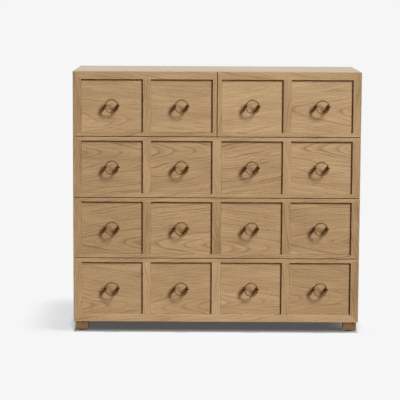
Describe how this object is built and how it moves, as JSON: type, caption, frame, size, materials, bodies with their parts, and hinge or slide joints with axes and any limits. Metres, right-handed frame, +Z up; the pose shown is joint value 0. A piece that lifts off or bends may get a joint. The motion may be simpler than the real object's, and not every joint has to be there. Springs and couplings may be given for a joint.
{
  "type": "chest of drawers",
  "caption": "Low oak chest of drawers with recessed square block panels, a thin ring pull on each block, two small drawers over full-width ones, and short square feet.",
  "frame": {"origin": "on the floor, midway across the width and midway between the back of the case and the front of the pull rings", "axes": "+Z up, +X to the right as one faces the drawers, -Y towards the person who opens them"},
  "size_m": [1.219, 0.4806, 1.118],
  "materials": {
    "front_oak": "matt lacquered oak",
    "case_oak": "matt lacquered oak veneer",
    "drawer_box_wood": "clear sealed solid wood",
    "back_plywood": "clear sealed plywood",
    "slide_steel": "zinc plated",
    "glide_nylon": "dark nylon",
    "aged_brass": "aged, satin"
  },
  "bodies": {
    "case": {"top_panel": "case_oak", "left_side_panel": "case_oak", "right_side_panel": "case_oak", "bottom_panel": "case_oak", "back_panel": "back_plywood", "dust_shelf": "drawer_box_wood", "centre_partition": "drawer_box_wood", "cross_rails": "drawer_box_wood", "feet": "case_oak", "foot_glides": "glide_nylon", "slide_cabinet_members": "slide_steel"},
    "top_left_drawer": {"top_left_front_frame": "front_oak", "top_left_block_panels": "front_oak", "top_left_box_sides": "drawer_box_wood", "top_left_box_ends": "drawer_box_wood", "top_left_box_bottom": "drawer_box_wood", "top_left_slide_drawer_members": "slide_steel", "top_left_pull_rings": "aged_brass", "top_left_pull_posts": "aged_brass"},
    "top_left_slide_middles": {"top_left_slide_middle_members": "slide_steel"},
    "top_right_drawer": {"top_right_front_frame": "front_oak", "top_right_block_panels": "front_oak", "top_right_box_sides": "drawer_box_wood", "top_right_box_ends": "drawer_box_wood", "top_right_box_bottom": "drawer_box_wood", "top_right_slide_drawer_members": "slide_steel", "top_right_pull_rings": "aged_brass", "top_right_pull_posts": "aged_brass"},
    "top_right_slide_middles": {"top_right_slide_middle_members": "slide_steel"},
    "second_drawer": {"second_front_frame": "front_oak", "second_block_panels": "front_oak", "second_box_sides": "drawer_box_wood", "second_box_ends": "drawer_box_wood", "second_box_bottom": "drawer_box_wood", "second_slide_drawer_members": "slide_steel", "second_pull_rings": "aged_brass", "second_pull_posts": "aged_brass"},
    "second_slide_middles": {"second_slide_middle_members": "slide_steel"},
    "third_drawer": {"third_front_frame": "front_oak", "third_block_panels": "front_oak", "third_box_sides": "drawer_box_wood", "third_box_ends": "drawer_box_wood", "third_box_bottom": "drawer_box_wood", "third_slide_drawer_members": "slide_steel", "third_pull_rings": "aged_brass", "third_pull_posts": "aged_brass"},
    "third_slide_middles": {"third_slide_middle_members": "slide_steel"},
    "bottom_drawer": {"bottom_front_frame": "front_oak", "bottom_block_panels": "front_oak", "bottom_box_sides": "drawer_box_wood", "bottom_box_ends": "drawer_box_wood", "bottom_box_bottom": "drawer_box_wood", "bottom_slide_drawer_members": "slide_steel", "bottom_pull_rings": "aged_brass", "bottom_pull_posts": "aged_brass"},
    "bottom_slide_middles": {"bottom_slide_middle_members": "slide_steel"}
  },
  "joints": [
    {"name": "top_left_drawer_slide", "type": "slide", "parent": "case", "child": "top_left_drawer", "axis": [0, -1, 0], "range_m": [0, 0.4]},
    {"name": "top_left_middle_slide", "type": "slide", "parent": "case", "child": "top_left_slide_middles", "axis": [0, -1, 0], "range_m": [0, 0.2]},
    {"name": "top_right_drawer_slide", "type": "slide", "parent": "case", "child": "top_right_drawer", "axis": [0, -1, 0], "range_m": [0, 0.4]},
    {"name": "top_right_middle_slide", "type": "slide", "parent": "case", "child": "top_right_slide_middles", "axis": [0, -1, 0], "range_m": [0, 0.2]},
    {"name": "second_drawer_slide", "type": "slide", "parent": "case", "child": "second_drawer", "axis": [0, -1, 0], "range_m": [0, 0.4]},
    {"name": "second_middle_slide", "type": "slide", "parent": "case", "child": "second_slide_middles", "axis": [0, -1, 0], "range_m": [0, 0.2]},
    {"name": "third_drawer_slide", "type": "slide", "parent": "case", "child": "third_drawer", "axis": [0, -1, 0], "range_m": [0, 0.4]},
    {"name": "third_middle_slide", "type": "slide", "parent": "case", "child": "third_slide_middles", "axis": [0, -1, 0], "range_m": [0, 0.2]},
    {"name": "bottom_drawer_slide", "type": "slide", "parent": "case", "child": "bottom_drawer", "axis": [0, -1, 0], "range_m": [0, 0.4]},
    {"name": "bottom_middle_slide", "type": "slide", "parent": "case", "child": "bottom_slide_middles", "axis": [0, -1, 0], "range_m": [0, 0.2]}
  ],
  "couplings": [
    {"joint": "top_left_middle_slide", "follows": "top_left_drawer_slide", "ratio": 0.5},
    {"joint": "top_right_middle_slide", "follows": "top_right_drawer_slide", "ratio": 0.5},
    {"joint": "second_middle_slide", "follows": "second_drawer_slide", "ratio": 0.5},
    {"joint": "third_middle_slide", "follows": "third_drawer_slide", "ratio": 0.5},
    {"joint": "bottom_middle_slide", "follows": "bottom_drawer_slide", "ratio": 0.5}
  ]
}
